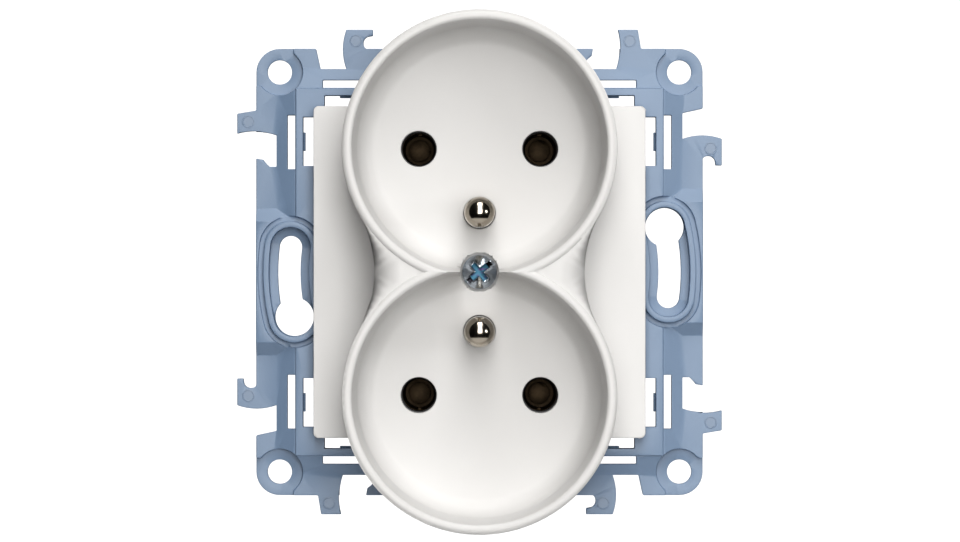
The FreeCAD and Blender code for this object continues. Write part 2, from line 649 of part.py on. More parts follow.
def socket_cover():
    body = new_body("socket_cover")
    block = new_sketch(body, "block_outline", size("block_back"))
    square(block, block_half)
    pad(body, block, size("block_front") - size("block_back"), "block")
    round_edges(body, size("block_corner"), "block_corners",
                lambda edge: runs_along(edge, ROOM_WARDS))
    wells = new_sketch(body, "wells_outline", size("block_front"))
    well_outline(wells, well_outer.value)
    pad(body, wells, crest - size("web_drop") - size("block_front"), "wells")

    lip = new_sketch(body, "lip_profile", plane="YZ_Plane", shift=(0, well_z))
    mouth = well_outer - size("well_mouth")
    inner = mouth - size("lip_round")
    edge = size("lip_round")
    outline(lip, [(-crest + size("lip_tall"), inner), (-crest + size("lip_tall"), well_outer),
                  (-crest + edge, well_outer,
                   (-crest + edge * QUARTER_ARC, well_outer - edge * QUARTER_ARC)),
                  (-crest, well_outer - edge), (-crest, inner)])
    lip_ring = revolve(body, lip, "lip_ring")
    mirror(body, [lip_ring], "XY_Plane", "both_lips")

    hollow = new_sketch(body, "well_profile", plane="YZ_Plane", shift=(0, well_z))
    floor = size("well_floor")
    foot = well_outer - size("well_foot")
    blend = size("well_blend")
    turn = size("well_top") - size("well_mouth")
    outline(hollow, [(-crest - size("past"), 0), (-crest - size("past"), mouth),
                     (-crest, mouth,
                      (-crest + turn * QUARTER_ARC, mouth - turn * math.sqrt(0.5))),
                     (-crest + turn, well_outer - size("well_top")),
                     (-floor - blend, foot,
                      (-floor - blend * QUARTER_ARC, foot - blend * QUARTER_ARC)),
                     (-floor, foot - blend), (-floor, 0)])
    hollow_cut = revolve(body, hollow, "well_cut", removes=True)
    mirror(body, [hollow_cut], "XY_Plane", "both_wells")

    inside = new_sketch(body, "block_inside", size("block_back"))
    square(inside, block_half - size("block_wall"))
    pocket(body, inside, ceiling - size("block_back"), "block_hollow", forward=True)
    far = waist_half - size("web_wall")
    near = far - size("web_hollow")
    tall = size("web_hollow_half")
    for name, sign in SIDES:
        web = new_sketch(body, "web_hollow_" + name, ceiling)
        outline(web, [(near * sign, 0), (far * sign, -tall), (far * sign, tall)])
        pocket(body, web, crest - ceiling - size("web_skin"), "web_hollow_cut_" + name,
               forward=True)
    for level, up in LEVELS:
        for side, across in SIDES:
            hole = new_sketch(body, "pin_hole_%s_%s" % (level, side), crest)
            circle(hole, pin_x * across, well_z * up, size("pin_hole_radius"))
            pocket(body, hole, None, "pin_hole_cut_%s_%s" % (level, side))
        earth = new_sketch(body, "earth_hole_" + level, crest)
        circle(earth, 0, earth_z * up, size("earth_radius") + size("earth_clear"))
        pocket(body, earth, None, "earth_hole_cut_" + level)
    seat = new_sketch(body, "screw_seat", crest)
    circle(seat, 0, 0, size("seat_radius"))
    pocket(body, seat, size("well_depth") + size("seat_sink"), "screw_seat_cut")
    hole = new_sketch(body, "screw_hole", crest)
    circle(hole, 0, 0, size("screw_radius") + size("seat_hole_clear"))
    pocket(body, hole, None, "screw_hole_cut")
    return body


# ---------------------------------------------------------------- pins, screws and washers

def earth_pin(level, up):
    """A pin with a hemispherical tip, a neck, a collar behind the carrier and a riveted tail."""
    body = new_body("earth_pin_" + level, (0, 0, earth_z * up))
    radius = size("earth_radius")
    neck = size("earth_neck")
    collar = size("earth_collar")
    tip = size("well_floor") + size("earth_length")
    shoulder = size("well_floor") + size("earth_shoulder")
    back = size("strap_depth")
    tail = back + size("strap_thick")
    end = tail + size("earth_rivet_rise")
    sketch = new_sketch(body, "pin_profile", plane="YZ_Plane")
    outline(sketch, [
        (-tip, 0, (-tip + radius * QUARTER_ARC, radius * math.sqrt(0.5))), (-tip + radius, radius),
        (-shoulder, radius), (-shoulder, neck), (-size("carrier_back"), neck),
        (-size("carrier_back"), collar), (back, collar), (back, size("earth_tail")),
        (tail, size("earth_tail")), (tail, size("earth_rivet")),
        (end, size("earth_rivet") - size("earth_rivet_round")), (end, 0)])
    revolve(body, sketch, "pin")
    return body


def screw_head_recess(body, height):
    """A driver slot and a deeper cross, both turned together."""
    turn = size("recess_turn").value
    half_slot = size("slot_width") / 2
    edge = size("screw_head_radius") + size("past")
    above = height + size("past")
    slot = new_sketch(body, "slot_outline", above, turn=turn)
    rectangle(slot, -edge, edge, -half_slot, half_slot)
    pocket(body, slot, size("slot_depth") + size("past"), "slot")
    arm_half = size("cross_width") / 2
    for name, extra in (("first", 0), ("second", 90)):
        arm = new_sketch(body, "cross_outline_" + name, above, turn=turn + extra)
        rectangle(arm, -size("cross_span") / 2, size("cross_span") / 2, -arm_half, arm_half)
        pocket(body, arm, size("cross_depth") + size("past"), "cross_" + name)


def pan_head_screw(label, length, place, axis=None, angle=0):
    """A screw whose head's underside is at its own origin and whose head faces -Y."""
    body = new_body(label, place, axis, angle)
    head = size("screw_head_radius")
    rise = size("screw_head_height")
    shank = size("screw_radius")
    bevel = size("screw_point")
    sketch = new_sketch(body, "screw_profile", plane="YZ_Plane")
    outline(sketch, [(0, head), (-rise * 0.45, head, (-rise * 0.878, head * 0.5)), (-rise, 0),
                     (length, 0), (length, shank - bevel), (length - bevel, shank), (0, shank)])
    revolve(body, sketch, "screw")
    screw_head_recess(body, rise)
    return body


def ring(label, outer, inner, height, length, place=None):
    """A plain ring about its own Y axis, from a height backwards."""
    body = new_body(label, place)
    sketch = new_sketch(body, "ring_outline", height)
    circle(sketch, 0, 0, outer)
    circle(sketch, 0, 0, inner)
    pad(body, sketch, length, "ring", backward=True)
    return body


# ---------------------------------------------------------------- mechanism

def base_catches(body):
    """Seating lugs on the bracket's front and snap noses in its back, on all four sides."""
    added = []
    for side, sign in SIDES:
        lug = new_sketch(body, "lug_outline_" + side, size("lug_floor"))
        rectangle(lug, size("lug_low") * sign, size("lug_high") * sign,
                  base_half - size("root"), base_half + size("lug_reach"))
        added.append(pad(body, lug, size("base_front") - size("lug_floor"), "lug_" + side))
        nose = new_sketch(body, "nose_outline_" + side, size("nose_back"))
        rectangle(nose, size("nose_low") * sign, size("nose_high") * sign,
                  base_half - size("root"), base_half + size("nose_reach"))
        added.append(pad(body, nose, size("nose_height") - size("nose_back"), "nose_" + side))
    repeat_round(body, added, 4, "lugs_round")


def base_holes(body):
    """Driver holes over the terminal screws, and wire holes in the back."""
    hole_radius = size("screw_head_radius") + size("driver_clear")
    inside = cavity_half - size("root")
    for name, plane, sign in (("left", "YZ_Plane", -1), ("right", "YZ_Plane", 1),
                              ("below", "XY_Plane", -1)):
        driver = new_sketch(body, "driver_hole_" + name, inside * sign, plane)
        if plane == "YZ_Plane":
            circle(driver, terminal_depth, 0, hole_radius)
        else:
            circle(driver, 0, terminal_depth, hole_radius)
        pocket(body, driver, size("base_wall") + size("root") * 2, "driver_hole_cut_" + name,
               forward=sign > 0)
    out = tab_outer + size("wire_out")
    wire_holes = new_sketch(body, "wire_holes", -floor_depth + size("root"))
    for sign in (-1, 1):
        beside = size("wire_offset") * sign
        for across, up in ((-out, beside), (out, beside), (beside, -out)):
            circle(wire_holes, across, up, size("wire_radius"))
    pocket(body, wire_holes, None, "wire_holes_cut")


def mechanism_base():
    """The rear housing: walls, ribs, posts, lugs, snap noses, wire and driver holes."""
    body = new_body("mechanism_base")
    front = size("base_front")
    outside = new_sketch(body, "base_outline", front)
    octagon(outside, base_half, size("base_cut"))
    pad(body, outside, front + base_depth, "base", backward=True)
    inside = new_sketch(body, "cavity_outline", front)
    octagon(inside, cavity_half, cavity_cut)
    pocket(body, inside, front + floor_depth, "cavity")
    for side, across in SIDES:
        rib = new_sketch(body, "rib_outline_" + side, -floor_depth)
        rectangle(rib, size("rib_near") * across, (size("rib_near") + size("rib_wall")) * across,
                  -cavity_half, cavity_half)
        pad(body, rib, floor_depth + size("carrier_back") - size("rib_gap"), "rib_" + side)
        for level, up in LEVELS:
            name = "%s_%s" % (level, side)
            post = new_sketch(body, "post_outline_" + name, -floor_depth)
            circle(post, post_across * across, size("post_up") * up, size("post_radius"))
            pad(body, post, floor_depth + size("carrier_back"), "post_" + name)
            pilot = new_sketch(body, "pilot_outline_" + name, size("carrier_back"))
            circle(pilot, post_across * across, size("post_up") * up,
                   size("carrier_screw_radius"))
            pocket(body, pilot, size("pilot_depth"), "pilot_" + name)
    base_catches(body)
    base_holes(body)
    return body


def contact_carrier():
    """The insulating lid over the contacts, with bosses that the cover rests on."""
    body = new_body("contact_carrier")
    back = size("carrier_back")
    sketch = new_sketch(body, "lid_outline", back)
    octagon(sketch, cavity_half - size("carrier_clear"), cavity_cut)
    pad(body, sketch, size("carrier_front") - back, "lid")
    rise = ceiling - size("carrier_front")
    bosses = new_sketch(body, "boss_outlines", size("carrier_front"))
    circle(bosses, 0, 0, size("hub_radius"))
    for level, up in LEVELS:
        circle(bosses, 0, earth_z * up, size("boss_radius"))
        for side, across in SIDES:
            circle(bosses, pin_x * across, well_z * up, size("boss_radius"))
    pad(body, bosses, rise, "bosses")
    holes = new_sketch(body, "hole_outlines", ceiling)
    circle(holes, 0, 0, size("bush_radius"))
    for level, up in LEVELS:
        circle(holes, 0, earth_z * up, size("earth_neck") + size("earth_neck_clear"))
        for side, across in SIDES:
            circle(holes, pin_x * across, well_z * up, size("sleeve_bore") + size("guide_clear"))
            circle(holes, post_across * across, size("post_up") * up,
                   size("carrier_screw_radius") + size("carrier_screw_clear"))
    pocket(body, holes, None, "holes")
    return body


def contact_sleeve(label, across, up):
    """A slit sleeve that grips a plug pin, closed at the back by the disc that is riveted."""
    body = new_body(label, (pin_x * across, 0, well_z * up))
    mouth = size("sleeve_mouth")
    bore = size("sleeve_bore")
    flare = size("sleeve_flare")
    back = size("bar_depth")
    disc = back - size("sleeve_disc")
    sketch = new_sketch(body, "sleeve_profile", plane="YZ_Plane")
    outline(sketch, [(mouth, bore + flare), (mouth, sleeve_outer), (back, sleeve_outer),
                     (back, size("rivet_radius")), (disc, size("rivet_radius")), (disc, bore),
                     (mouth + flare * 3, bore)])
    revolve(body, sketch, "sleeve")
    slit = new_sketch(body, "slit_outline", -mouth)
    half_slit = size("sleeve_slit") / 2
    past = sleeve_outer + size("past")
    rectangle(slit, -half_slit, half_slit, -past, past)
    pocket(body, slit, disc - mouth - size("root") * 2, "slit")
    return body


def contact_spring(label, across, up):
    """A steel clip round a contact sleeve, open on the side towards the module's middle."""
    inner = sleeve_outer + size("spring_clear")
    outer = inner + size("spring_wall")
    body = ring(label, outer, inner, -size("spring_low"), size("spring_width"),
                (pin_x * across, 0, well_z * up))
    gap = new_sketch(body, "gap_outline", -size("spring_low"))
    rectangle(gap, -size("spring_gap"), size("spring_gap"), 0, -(outer + size("past")) * up)
    pocket(body, gap, None, "gap")
    return body


def terminal_tab_holes(body, plane, sign):
    start = tab_outer - size("bar_thick") * 2
    hole = new_sketch(body, "thread_outline", start * sign, plane)
    if plane == "YZ_Plane":
        circle(hole, terminal_depth, 0, screw_bore)
    else:
        circle(hole, 0, terminal_depth, screw_bore)
    pocket(body, hole, size("bar_thick") * 3, "thread", forward=sign > 0)


def busbar(label, across):
    """A strip behind both sleeves of a pole, with an arm bent back into the terminal's tab."""
    body = new_body(label)
    front = -size("bar_depth")
    half = size("bar_width") / 2
    end = cavity_half - size("bar_end")
    strip = new_sketch(body, "strip_outline", front)
    rectangle(strip, (pin_x - half) * across, (pin_x + half) * across, -end, end)
    pad(body, strip, size("bar_thick"), "strip", backward=True)
    arm = new_sketch(body, "arm_outline", front)
    rectangle(arm, (pin_x + half - size("root")) * across, tab_outer * across,
              -size("tab_half"), size("tab_half"))
    pad(body, arm, size("bar_thick"), "arm", backward=True)
    tab = new_sketch(body, "tab_outline", front)
    rectangle(tab, (tab_outer - size("bar_thick")) * across, tab_outer * across,
              -size("tab_half"), size("tab_half"))
    pad(body, tab, tab_depth - size("bar_depth"), "tab", backward=True)
    rivets = new_sketch(body, "rivet_holes", front)
    for level, up in LEVELS:
        circle(rivets, pin_x * across, well_z * up, size("rivet_radius"))
    pocket(body, rivets, None, "rivet_hole_cut")
    terminal_tab_holes(body, "YZ_Plane", across)
    return body


def earth_strap():
    """The strip that carries both earth pins, bent back below into the earth terminal's tab."""
    body = new_body("earth_strap")
    front = -size("strap_depth")
    half = size("strap_width") / 2
    strip = new_sketch(body, "strip_outline", front)
    rectangle(strip, -half, half, -tab_outer, earth_z + size("strap_end"))
    pad(body, strip, size("strap_thick"), "strip", backward=True)
    tab = new_sketch(body, "tab_outline", front)
    rectangle(tab, -size("tab_half"), size("tab_half"),
              -tab_outer, -tab_outer + size("bar_thick"))
    pad(body, tab, tab_depth - size("strap_depth"), "tab", backward=True)
    pins = new_sketch(body, "pin_holes", front)
    for level, up in LEVELS:
        circle(pins, 0, earth_z * up, size("earth_tail") + size("earth_tail_clear"))
    pocket(body, pins, None, "pin_hole_cut")
    terminal_tab_holes(body, "XY_Plane", -1)
    return body


TERMINALS = (
    ("live", (-1, 0), UP, -90),
    ("neutral", (1, 0), UP, 90),
    ("earth", (0, -1), RIGHT, 90),
)


def terminal_place(direction, out):
    """A point on a terminal's axis, at a distance from the module's middle."""
    return (out * direction[0], terminal_depth, out * direction[1])


def clamp_plate(name, direction, axis, angle):
    """The plate that presses the wires on the tab; the screw turns freely in it."""
    out = tab_outer + size("plate_gap")
    body = new_body("clamp_plate_" + name, terminal_place(direction, out), axis, angle)
    sketch = new_sketch(body, "plate_outline")
    wide, tall = size("clamp_half"), size("clamp_tall")
    if name == "earth":
        rectangle(sketch, -wide, wide, -tall, tall)
    else:
        rectangle(sketch, -tall, tall, -wide, wide)
    circle(sketch, 0, 0, screw_bore)
    pad(body, sketch, size("clamp_thick"), "plate")
    return body


def terminal_screw(name, direction, axis, angle):
    out = tab_outer + size("plate_gap") + size("clamp_thick")
    return pan_head_screw("terminal_screw_" + name, size("terminal_screw_length"),
                          terminal_place(direction, out), axis, angle)


def shaft(name, radius, front, back, across, up):
    """A plain cylinder along Y between two depths."""
    front, back = as_size(front), as_size(back)
    solid = doc.addObject("Part::Cylinder", name)
    bind(solid, "Radius", radius)
    bind(solid, "Height", back - front)
    turn = FreeCAD.Rotation(RIGHT, -90)
    place = FreeCAD.Vector(across.value, front.value, up.value)
    solid.Placement = FreeCAD.Placement(place, turn)
    for prop, length in (("x", across), ("y", front), ("z", up)):
        bind(solid, "Placement.Base." + prop, length)
    return solid


def fastener_group(label, places, sections):
    """Alike fasteners in one node; sections are (name, radius, front depth, back depth)."""
    whole = []
    for number, (across, up) in enumerate(places, start=1):
        pieces = [shaft("%s_%s_%d" % (label, name, number), radius, front, back, across, up)
                  for name, radius, front, back in sections]
        joined = doc.addObject("Part::MultiFuse", "%s_%d" % (label, number))
        joined.Shapes = pieces
        whole.append(joined)
    group = doc.addObject("Part::Compound", label)
    group.Label = label
    group.Links = whole
    return group


def contact_rivets():
    front = size("bar_depth") - size("sleeve_disc")
    back = size("bar_depth") + size("bar_thick")
    rise = size("rivet_rise")
    places = [(pin_x * across, well_z * up) for _, across in SIDES for _, up in LEVELS]
    return fastener_group("contact_rivets", places, [
        ("head", size("rivet_head"), front - rise, front),
        ("shank", size("rivet_radius"), front - rise, back + rise),
        ("tail", size("rivet_head"), back, back + rise)])


def carrier_screws():
    top = -size("carrier_front")
    raised = top - size("carrier_screw_rise")
    places = [(post_across * across, size("post_up") * up)
              for _, across in SIDES for _, up in LEVELS]
    return fastener_group("carrier_screws", places, [
        ("head", size("carrier_screw_head"), raised, top),
        ("shank", size("carrier_screw_radius"), raised, size("carrier_screw_depth"))])


# ---------------------------------------------------------------- whole module

nodes = [mounting_bracket(), socket_cover(), mechanism_base(), contact_carrier()]
nodes += [earth_pin(level, up) for level, up in LEVELS]
nodes.append(earth_strap())
nodes.append(ring("threaded_bush", size("bush_radius"), screw_bore, size("bush_front"),
                  size("bush_front") + size("bush_depth")))
seat_height = size("well_floor") - size("seat_sink")
nodes.append(pan_head_screw("cover_screw", size("cover_screw_length"), (0, -seat_height, 0)))
nodes.append(ring("screw_retainer", size("retainer_radius"), size("screw_radius"),
                  ceiling - size("retainer_gap"), size("retainer_thick")))
for pole, across in (("live", -1), ("neutral", 1)):
    nodes.append(busbar(pole + "_busbar", across))
    for level, up in LEVELS:
        nodes.append(contact_sleeve("%s_contact_%s" % (pole, level), across, up))
        nodes.append(contact_spring("%s_spring_%s" % (pole, level), across, up))
for name, direction, axis, angle in TERMINALS:
    nodes.append(clamp_plate(name, direction, axis, angle))
    nodes.append(terminal_screw(name, direction, axis, angle))
nodes += [contact_rivets(), carrier_screws()]
doc.recompute()

for thing in doc.Objects:
    if "Invalid" in thing.State or "Error" in thing.State:
        raise RuntimeError("%s failed: %s" % (thing.Name, thing.State))
os.makedirs("parts", exist_ok=True)
for node in nodes:
    if node.Shape.isNull() or not node.Shape.isValid():
        raise RuntimeError("%s has no valid shape" % node.Label)
for node in nodes:
    node.Shape.exportStep("parts/%s.step" % node.Label)
    print(node.Label, len(node.Shape.Solids), round(node.Shape.Volume, 1))
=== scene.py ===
import json
import math

import bmesh
import bpy
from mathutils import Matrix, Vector

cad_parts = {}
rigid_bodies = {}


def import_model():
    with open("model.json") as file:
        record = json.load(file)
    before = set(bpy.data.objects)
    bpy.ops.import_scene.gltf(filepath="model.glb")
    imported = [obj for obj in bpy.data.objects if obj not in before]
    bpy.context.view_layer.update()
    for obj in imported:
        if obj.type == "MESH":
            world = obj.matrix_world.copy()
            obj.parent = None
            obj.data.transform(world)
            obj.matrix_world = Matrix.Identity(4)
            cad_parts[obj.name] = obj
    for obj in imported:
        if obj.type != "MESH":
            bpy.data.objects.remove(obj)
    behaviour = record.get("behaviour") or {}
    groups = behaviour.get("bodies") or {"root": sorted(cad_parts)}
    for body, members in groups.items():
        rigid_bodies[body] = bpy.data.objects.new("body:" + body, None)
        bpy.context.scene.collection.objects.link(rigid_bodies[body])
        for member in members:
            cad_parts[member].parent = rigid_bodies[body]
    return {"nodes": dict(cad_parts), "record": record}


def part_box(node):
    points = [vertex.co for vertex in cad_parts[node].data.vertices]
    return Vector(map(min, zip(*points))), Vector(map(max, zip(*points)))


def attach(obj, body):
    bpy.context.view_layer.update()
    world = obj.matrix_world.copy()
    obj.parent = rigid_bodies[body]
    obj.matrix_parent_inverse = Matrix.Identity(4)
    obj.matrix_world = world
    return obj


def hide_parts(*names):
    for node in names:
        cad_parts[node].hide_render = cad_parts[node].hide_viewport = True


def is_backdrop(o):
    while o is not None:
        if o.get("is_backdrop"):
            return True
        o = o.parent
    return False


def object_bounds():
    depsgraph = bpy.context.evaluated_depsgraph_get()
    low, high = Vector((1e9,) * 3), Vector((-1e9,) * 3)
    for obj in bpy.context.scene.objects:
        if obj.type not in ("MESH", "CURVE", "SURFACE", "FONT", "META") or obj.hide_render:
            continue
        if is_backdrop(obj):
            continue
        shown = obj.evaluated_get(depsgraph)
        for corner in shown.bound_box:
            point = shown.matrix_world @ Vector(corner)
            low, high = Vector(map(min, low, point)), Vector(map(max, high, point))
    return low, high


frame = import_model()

CAD_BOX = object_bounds()

bl_info = {
    "name": "Twin Pin-Earth Socket Outlet",
    "version": (1, 0, 0),
    "blender": (4, 5, 0),
    "location": "View3D > Sidebar > Outlet",
    "description": "Finishes and detail pieces of a twin flush socket-outlet module",
    "category": "Object",
}

MM = 0.001
WELD = 0.002 * MM              # points of a carried-over mesh this close are one point
BREAK = 0.1 * MM               # the break of a turned piece's sharp edges
POLE = 0.06 * MM               # the small flat left at a turned tip
LIP_TALL = 1.2 * MM            # the part of a lip that keeps the edges it has
WEB_WIDE = 9 * MM              # edges this near the cover screw, to either side, are kept too,
WEB_TALL = 3.4 * MM            # if they are also this near above or below
SMOOTH_TURN = 32               # edges that turn by more degrees than this stay sharp
COVER_TURN = 24                # the same for the cover, whose lips meet in flat ridges
PIN_RINGS = 20                 # rings of an earth pin's round tip
PIN_SIDES = 96
TAIL_STEP = 3 / 5              # an earth pin's riveted end, in from the pin, in neck steps
RIVET_SWELL = 1.15             # the widest part of the riveted end, in necks
TAIL_WIDTH = 0.84              # the tail in the strap, in necks
RIDGE_HALF = 0.42              # a thread ridge's half width along the screw, in pitches
RIDGE_RISE = 0.45              # its half height, in half widths
RIDGE_SINK = 0.11              # its middle, in from the thread's nominal outside, in pitches
THREAD_START = 0.6             # pitches left bare at a screw's end
THREAD_STEPS = 40              # steps in one turn of a thread
FILM_TOP = 0.3 * MM            # where the blue film starts, under a head's front
FILM_DULLS = 0.45              # how much less metallic the film is than the plate
FILM_ROUGHENS = 0.15           # how much rougher it is
PLATE_ROUGHNESS = 0.22
SLOT_TURN = 40                 # degrees from the level line to the driver slot
# near-black painted shade for the ends of the cover screw's driver slot
SLOT_PAINTED_SHADE = (0.015, 0.015, 0.018, 1)
MARK_SHADE = 0.88              # colour of an ejector mark, in bracket colours
FLAT_SHADED = ("cover", "bracket", "base", "carrier")
ZINC_TARNISH = (0.30, 0.36, 0.44)


# ------------------------------------------------------------------ selection and mesh helpers

def select_only(piece):
    for other in bpy.context.selected_objects:
        other.select_set(False)
    if piece is not None:
        piece.select_set(True)
    bpy.context.view_layer.objects.active = piece


def paint(piece, material):
    piece.data.materials.clear()
    piece.data.materials.append(material)


def to_edit(piece):
    select_only(piece)
    bpy.ops.object.mode_set(mode="EDIT")
    bpy.ops.mesh.select_all(action="SELECT")


def to_object():
    bpy.ops.object.mode_set(mode="OBJECT")


def settle(piece):
    """Puts the piece's place and turn into its mesh, so its object sits at the origin."""
    select_only(piece)
    bpy.ops.object.transform_apply(location=True, rotation=True, scale=True)


def smooth(piece, degrees=SMOOTH_TURN):
    select_only(piece)
    bpy.ops.object.shade_smooth_by_angle(angle=math.radians(degrees))


def flatten_shading(piece):
    """Lets the large faces set the shading, so that flat stretches look flat."""
    select_only(piece)
    weighted = piece.modifiers.new("shading", "WEIGHTED_NORMAL")
    weighted.mode = "FACE_AREA_WITH_ANGLE"
    weighted.weight = 100
    weighted.keep_sharp = True
    bpy.ops.object.modifier_apply(modifier=weighted.name)


def round_edges(piece, width, wanted=None, degrees=SMOOTH_TURN):
    """Rounds the sharp edges, or those of them that the wanted test picks."""
    shape = bmesh.new()
    shape.from_mesh(piece.data)
    weight = shape.edges.layers.float.new("bevel_weight_edge")
    for edge in shape.edges:
        sharp = len(edge.link_faces) == 2 and edge.calc_face_angle() > math.radians(degrees)
        edge[weight] = 1.0 if sharp and (wanted is None or wanted(edge)) else 0.0
    shape.to_mesh(piece.data)
    shape.free()
    select_only(piece)
    bevel = piece.modifiers.new("edges", "BEVEL")
    bevel.width = width
    bevel.segments = 2
    bevel.limit_method = "WEIGHT"
    bevel.use_clamp_overlap = False
    bevel.miter_outer = "MITER_ARC"
    bpy.ops.object.modifier_apply(modifier=bevel.name)


def body_of(node):
    bodies = frame["record"]["behaviour"]["bodies"]
    return next(body for body, members in bodies.items() if node in members)


def slot_of(node):
    rows = frame["record"]["subparts"]
    return next(row["material_slot"] for row in rows if row["node"] == node)


def deepen_slot(piece):
    """Cuts the cover screw's driver slot deep enough to stay open out to the head's shoulder."""
    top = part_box("cover_screw")[0].y
    given = bpy.context.scene.outlet_sizes
    select_only(None)
    bpy.ops.mesh.primitive_cube_add(size=1, location=(0, top, 0),
                                    rotation=(0, -math.radians(SLOT_TURN), 0))
    cutter = bpy.context.object
    cutter.scale = (2 * given.slot_reach, 2 * given.slot_depth, given.slot_width)
    settle(cutter)
    select_only(piece)
    cut = piece.modifiers.new("slot", "BOOLEAN")
    cut.operation = "DIFFERENCE"
    cut.solver = "EXACT"
    cut.object = cutter
    bpy.ops.object.modifier_apply(modifier=cut.name)
    select_only(cutter)
    bpy.ops.object.delete()
    select_only(piece)


def rounded_copy(node, label, width, finish=None, wanted=None, degrees=SMOOTH_TURN):
    """A copy of a carried-over piece, joined up, with its moulded or pressed edges rounded."""
    select_only(frame["nodes"][node])
    bpy.ops.object.duplicate()
    piece = bpy.context.object
    piece.name = label
    bpy.ops.object.parent_clear(type="CLEAR_KEEP_TRANSFORM")
    for mark in list(piece.keys()):
        del piece[mark]
    to_edit(piece)
    bpy.ops.mesh.remove_doubles(threshold=WELD)
    to_object()
    if node == "cover_screw":
        deepen_slot(piece)
    round_edges(piece, width, wanted)
    smooth(piece, degrees)
    if slot_of(node) in FLAT_SHADED:
        flatten_shading(piece)
    finish_piece(piece, node, finish)
    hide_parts(node)


def finish_piece(piece, node, finish=None):
    """Paints a piece, and lets it move and be recoloured with the node it belongs to."""
    slot = slot_of(node)
    paint(piece, bpy.data.materials[finish or SLOT_FINISH[slot]])
    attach(piece, body_of(node))


def turned_piece(label, place, profile, sides=64):
    """A piece turned about the Y axis: profile is (distance out of the wall, radius) steps."""
    first_height, first_radius = profile[0]
    select_only(None)
    bpy.ops.mesh.primitive_circle_add(
        vertices=sides, radius=first_radius, fill_type="NGON", rotation=(math.radians(90), 0, 0),
        location=(place[0], place[1] - first_height, place[2]))
    piece = bpy.context.object
    piece.name = label
    settle(piece)
    to_edit(piece)
    height, radius = first_height, first_radius
    for next_height, next_radius in profile[1:]:
        bpy.ops.mesh.extrude_region_move(
            TRANSFORM_OT_translate={"value": (0, height - next_height, 0)})
        share = next_radius / radius
        middle = (place[0], place[1] - next_height, place[2])
        bpy.ops.transform.resize(value=(share, 1, share), center_override=middle)
        height, radius = next_height, next_radius
    bpy.ops.mesh.select_all(action="SELECT")
    bpy.ops.mesh.normals_make_consistent(inside=False)
    to_object()
    return piece


# ------------------------------------------------------------------ node-tree helpers

def add_node(tree, kind, **inputs):
    node = tree.nodes.new(kind)
    for name, value in inputs.items():
        node.inputs[name.replace("_", " ")].default_value = value
    return node


def new_group(name, inputs, outputs):
    """A shader node group; inputs and outputs are (name, socket type, default)."""
    tree = bpy.data.node_groups.new(name, "ShaderNodeTree")
    for label, kind, default in inputs:
        socket = tree.interface.new_socket(label, in_out="INPUT", socket_type=kind)
        socket.default_value = default
    for label, kind in outputs:
        tree.interface.new_socket(label, in_out="OUTPUT", socket_type=kind)
    return tree, tree.nodes.new("NodeGroupInput"), tree.nodes.new("NodeGroupOutput")


FLOAT = "NodeSocketFloat"
COLOUR = "NodeSocketColor"
VECTOR = "NodeSocketVector"


def math_node(tree, operation, first, second):
    node = tree.nodes.new("ShaderNodeMath")
    node.operation = operation
    for socket, value in zip(node.inputs, (first, second)):
        if isinstance(value, (int, float)):
            socket.default_value = value
        else:
            tree.links.new(value, socket)
    return node.outputs[0]


def moulded_group():
    """Moulded plastic: a cloudy tint, an uneven gloss and a very fine eroded grain."""
    tree, given, out = new_group("Moulded Skin", [
        ("Color", COLOUR, (0.8, 0.8, 0.8, 1)), ("Roughness", FLOAT, 0.3),
        ("Gloss Drift", FLOAT, 0.05), ("Tint Drift", FLOAT, 0.03),
        ("Grain Scale", FLOAT, 4000), ("Grain Depth", FLOAT, 0.1)],
        [("Color", COLOUR), ("Roughness", FLOAT), ("Normal", VECTOR)])
    link = tree.links.new
    where = tree.nodes.new("ShaderNodeTexCoord")
    clouds = add_node(tree, "ShaderNodeTexNoise", Scale=90.0, Detail=3.0)
    link(where.outputs["Object"], clouds.inputs["Vector"])
    shade = math_node(tree, "SUBTRACT", clouds.outputs["Fac"], 0.5)
    tint = math_node(tree, "MULTIPLY_ADD", shade, given.outputs["Tint Drift"])
    tint.node.inputs[2].default_value = 1.0
    scaled = tree.nodes.new("ShaderNodeVectorMath")
    scaled.operation = "SCALE"
    link(given.outputs["Color"], scaled.inputs[0])
    link(tint, scaled.inputs["Scale"])
    link(scaled.outputs[0], out.inputs["Color"])
    patches = add_node(tree, "ShaderNodeTexNoise", Scale=260.0, Detail=4.0)
    link(where.outputs["Object"], patches.inputs["Vector"])
    drift = math_node(tree, "SUBTRACT", patches.outputs["Fac"], 0.5)
    gloss = math_node(tree, "MULTIPLY", drift, given.outputs["Gloss Drift"])
    link(math_node(tree, "ADD", given.outputs["Roughness"], gloss), out.inputs["Roughness"])
    grain = add_node(tree, "ShaderNodeTexNoise", Detail=2.0)
    link(where.outputs["Object"], grain.inputs["Vector"])
    link(given.outputs["Grain Scale"], grain.inputs["Scale"])
    bump = add_node(tree, "ShaderNodeBump", Distance=0.00002)
    link(grain.outputs["Fac"], bump.inputs["Height"])
    link(given.outputs["Grain Depth"], bump.inputs["Strength"])
    link(bump.outputs["Normal"], out.inputs["Normal"])


